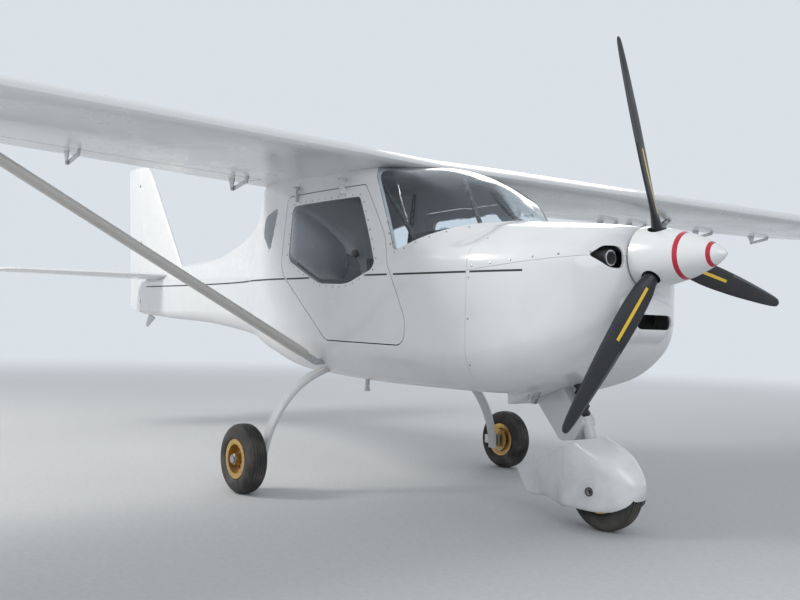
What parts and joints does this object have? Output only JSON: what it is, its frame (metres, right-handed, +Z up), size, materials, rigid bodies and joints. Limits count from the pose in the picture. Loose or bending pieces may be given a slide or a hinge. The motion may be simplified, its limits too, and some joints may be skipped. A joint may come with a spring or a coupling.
{
  "type": "ultralight aircraft",
  "caption": "High-wing strut-braced light aircraft with tricycle gear, spinning propeller, steering nosewheel, opening doors and working control surfaces.",
  "frame": {"origin": "on the ground, at the middle of the overall length and width", "axes": "+X forward towards the spinner, +Y towards the left wing tip, +Z up"},
  "size_m": [5.85, 9.8524, 2.13],
  "materials": {
    "white_composite": "glossy white gel coat",
    "white_fabric_wing": "glossy white skin",
    "window_glass": "blue-tinted transparent sheet",
    "dark_steel": "dark satin paint",
    "grey_alloy": "painted light grey",
    "gold_alloy": "satin gold",
    "tyre_rubber": "matte",
    "bare_steel": "satin",
    "black_blade": "satin dark blue-black",
    "cast_engine": "matte",
    "seat_cloth": "matte",
    "dark_trim": "matte"
  },
  "bodies": {
    "airframe": {"cabin_shell": "white_composite", "tail_cone": "white_composite", "cowl_upper": "white_composite", "cowl_lower": "white_composite", "fin": "white_composite", "tailplane": "white_composite", "nose_leg": "white_composite", "main_leg_left": "white_composite", "main_leg_right": "white_composite", "wing_left": "white_fabric_wing", "wing_right": "white_fabric_wing", "windscreen": "window_glass", "quarter_window_left": "window_glass", "quarter_window_right": "window_glass", "cabin_frame": "dark_steel", "control_sticks": "dark_steel", "rudder_pedals": "dark_steel", "nose_spring": "dark_steel", "strut_left": "grey_alloy", "strut_right": "grey_alloy", "exhaust_pipe": "bare_steel", "tail_skid": "bare_steel", "antenna": "bare_steel", "main_axle_left": "bare_steel", "main_axle_right": "bare_steel", "engine_block": "cast_engine", "seat_left": "seat_cloth", "seat_right": "seat_cloth", "instrument_panel": "dark_trim"},
    "propeller_assembly": {"propeller": "black_blade", "spinner": "white_composite", "spinner_plate": "grey_alloy"},
    "main_wheel_left": {"main_left_tyre": "tyre_rubber", "main_left_rim": "gold_alloy"},
    "main_wheel_right": {"main_right_tyre": "tyre_rubber", "main_right_rim": "gold_alloy"},
    "nose_wheel": {"nose_tyre": "tyre_rubber", "nose_rim": "gold_alloy"},
    "nose_gear": {"nose_fork": "grey_alloy", "nose_axle": "bare_steel", "nose_spat": "white_composite"},
    "door_left_body": {"door_left": "white_composite", "door_window_left": "window_glass"},
    "door_right_body": {"door_right": "white_composite", "door_window_right": "window_glass"},
    "rudder_body": {"rudder": "white_composite"},
    "elevator_body": {"elevator": "white_composite"},
    "flap_left_body": {"flap_left": "white_fabric_wing"},
    "flap_right_body": {"flap_right": "white_fabric_wing"},
    "aileron_left_body": {"aileron_left": "white_fabric_wing"},
    "aileron_right_body": {"aileron_right": "white_fabric_wing"}
  },
  "joints": [
    {"name": "propeller_spin", "type": "hinge", "parent": "airframe", "child": "propeller_assembly", "pos_m": [2.644, 0, 1.108], "axis": [1, 0, 0], "continuous": true},
    {"name": "main_wheel_left_spin", "type": "hinge", "parent": "airframe", "child": "main_wheel_left", "pos_m": [0.908, 0.872, 0.166], "axis": [0, 1, 0], "continuous": true},
    {"name": "main_wheel_right_spin", "type": "hinge", "parent": "airframe", "child": "main_wheel_right", "pos_m": [0.908, -0.872, 0.166], "axis": [0, 1, 0], "continuous": true},
    {"name": "nose_steer", "type": "hinge", "parent": "airframe", "child": "nose_gear", "pos_m": [2.292, 0, 0.392], "axis": [-0.3584, 0, 0.9336], "range_deg": [-20, 20]},
    {"name": "nose_wheel_spin", "type": "hinge", "parent": "nose_gear", "child": "nose_wheel", "pos_m": [2.384, 0, 0.166], "axis": [0, 1, 0], "continuous": true},
    {"name": "rudder_turn", "type": "hinge", "parent": "airframe", "child": "rudder_body", "pos_m": [-2.508, 0, 0.88], "axis": [-0.1168, 0, 0.9932], "range_deg": [-25, 25]},
    {"name": "elevator_turn", "type": "hinge", "parent": "airframe", "child": "elevator_body", "pos_m": [-2.335, 0, 1.177], "axis": [0, 1, 0], "range_deg": [-20, 25]},
    {"name": "flap_left_turn", "type": "hinge", "parent": "airframe", "child": "flap_left_body", "pos_m": [0.3, 1.55733, 1.57666], "axis": [0, -0.9996, -0.0274], "range_deg": [0, 35]},
    {"name": "flap_right_turn", "type": "hinge", "parent": "airframe", "child": "flap_right_body", "pos_m": [0.3, -1.55733, 1.57666], "axis": [0, -0.9996, 0.0274], "range_deg": [0, 35]},
    {"name": "aileron_left_turn", "type": "hinge", "parent": "airframe", "child": "aileron_left_body", "pos_m": [0.3, 3.64055, 1.63376], "axis": [0, 0.9996, 0.0274], "range_deg": [-20, 20]},
    {"name": "aileron_right_turn", "type": "hinge", "parent": "airframe", "child": "aileron_right_body", "pos_m": [0.3, -3.64055, 1.63376], "axis": [0, 0.9996, -0.0274], "range_deg": [-20, 20]},
    {"name": "door_left_swing", "type": "hinge", "parent": "airframe", "child": "door_left_body", "pos_m": [0.909, 0.5, 1.531], "axis": [1, 0, 0], "range_deg": [0, 70]},
    {"name": "door_right_swing", "type": "hinge", "parent": "airframe", "child": "door_right_body", "pos_m": [0.909, -0.5, 1.531], "axis": [-1, 0, 0], "range_deg": [0, 70]}
  ],
  "couplings": [
    {"joint": "rudder_turn", "follows": "nose_steer", "ratio": -1.25},
    {"joint": "aileron_right_turn", "follows": "aileron_left_turn", "ratio": -1},
    {"joint": "flap_right_turn", "follows": "flap_left_turn", "ratio": 1}
  ]
}
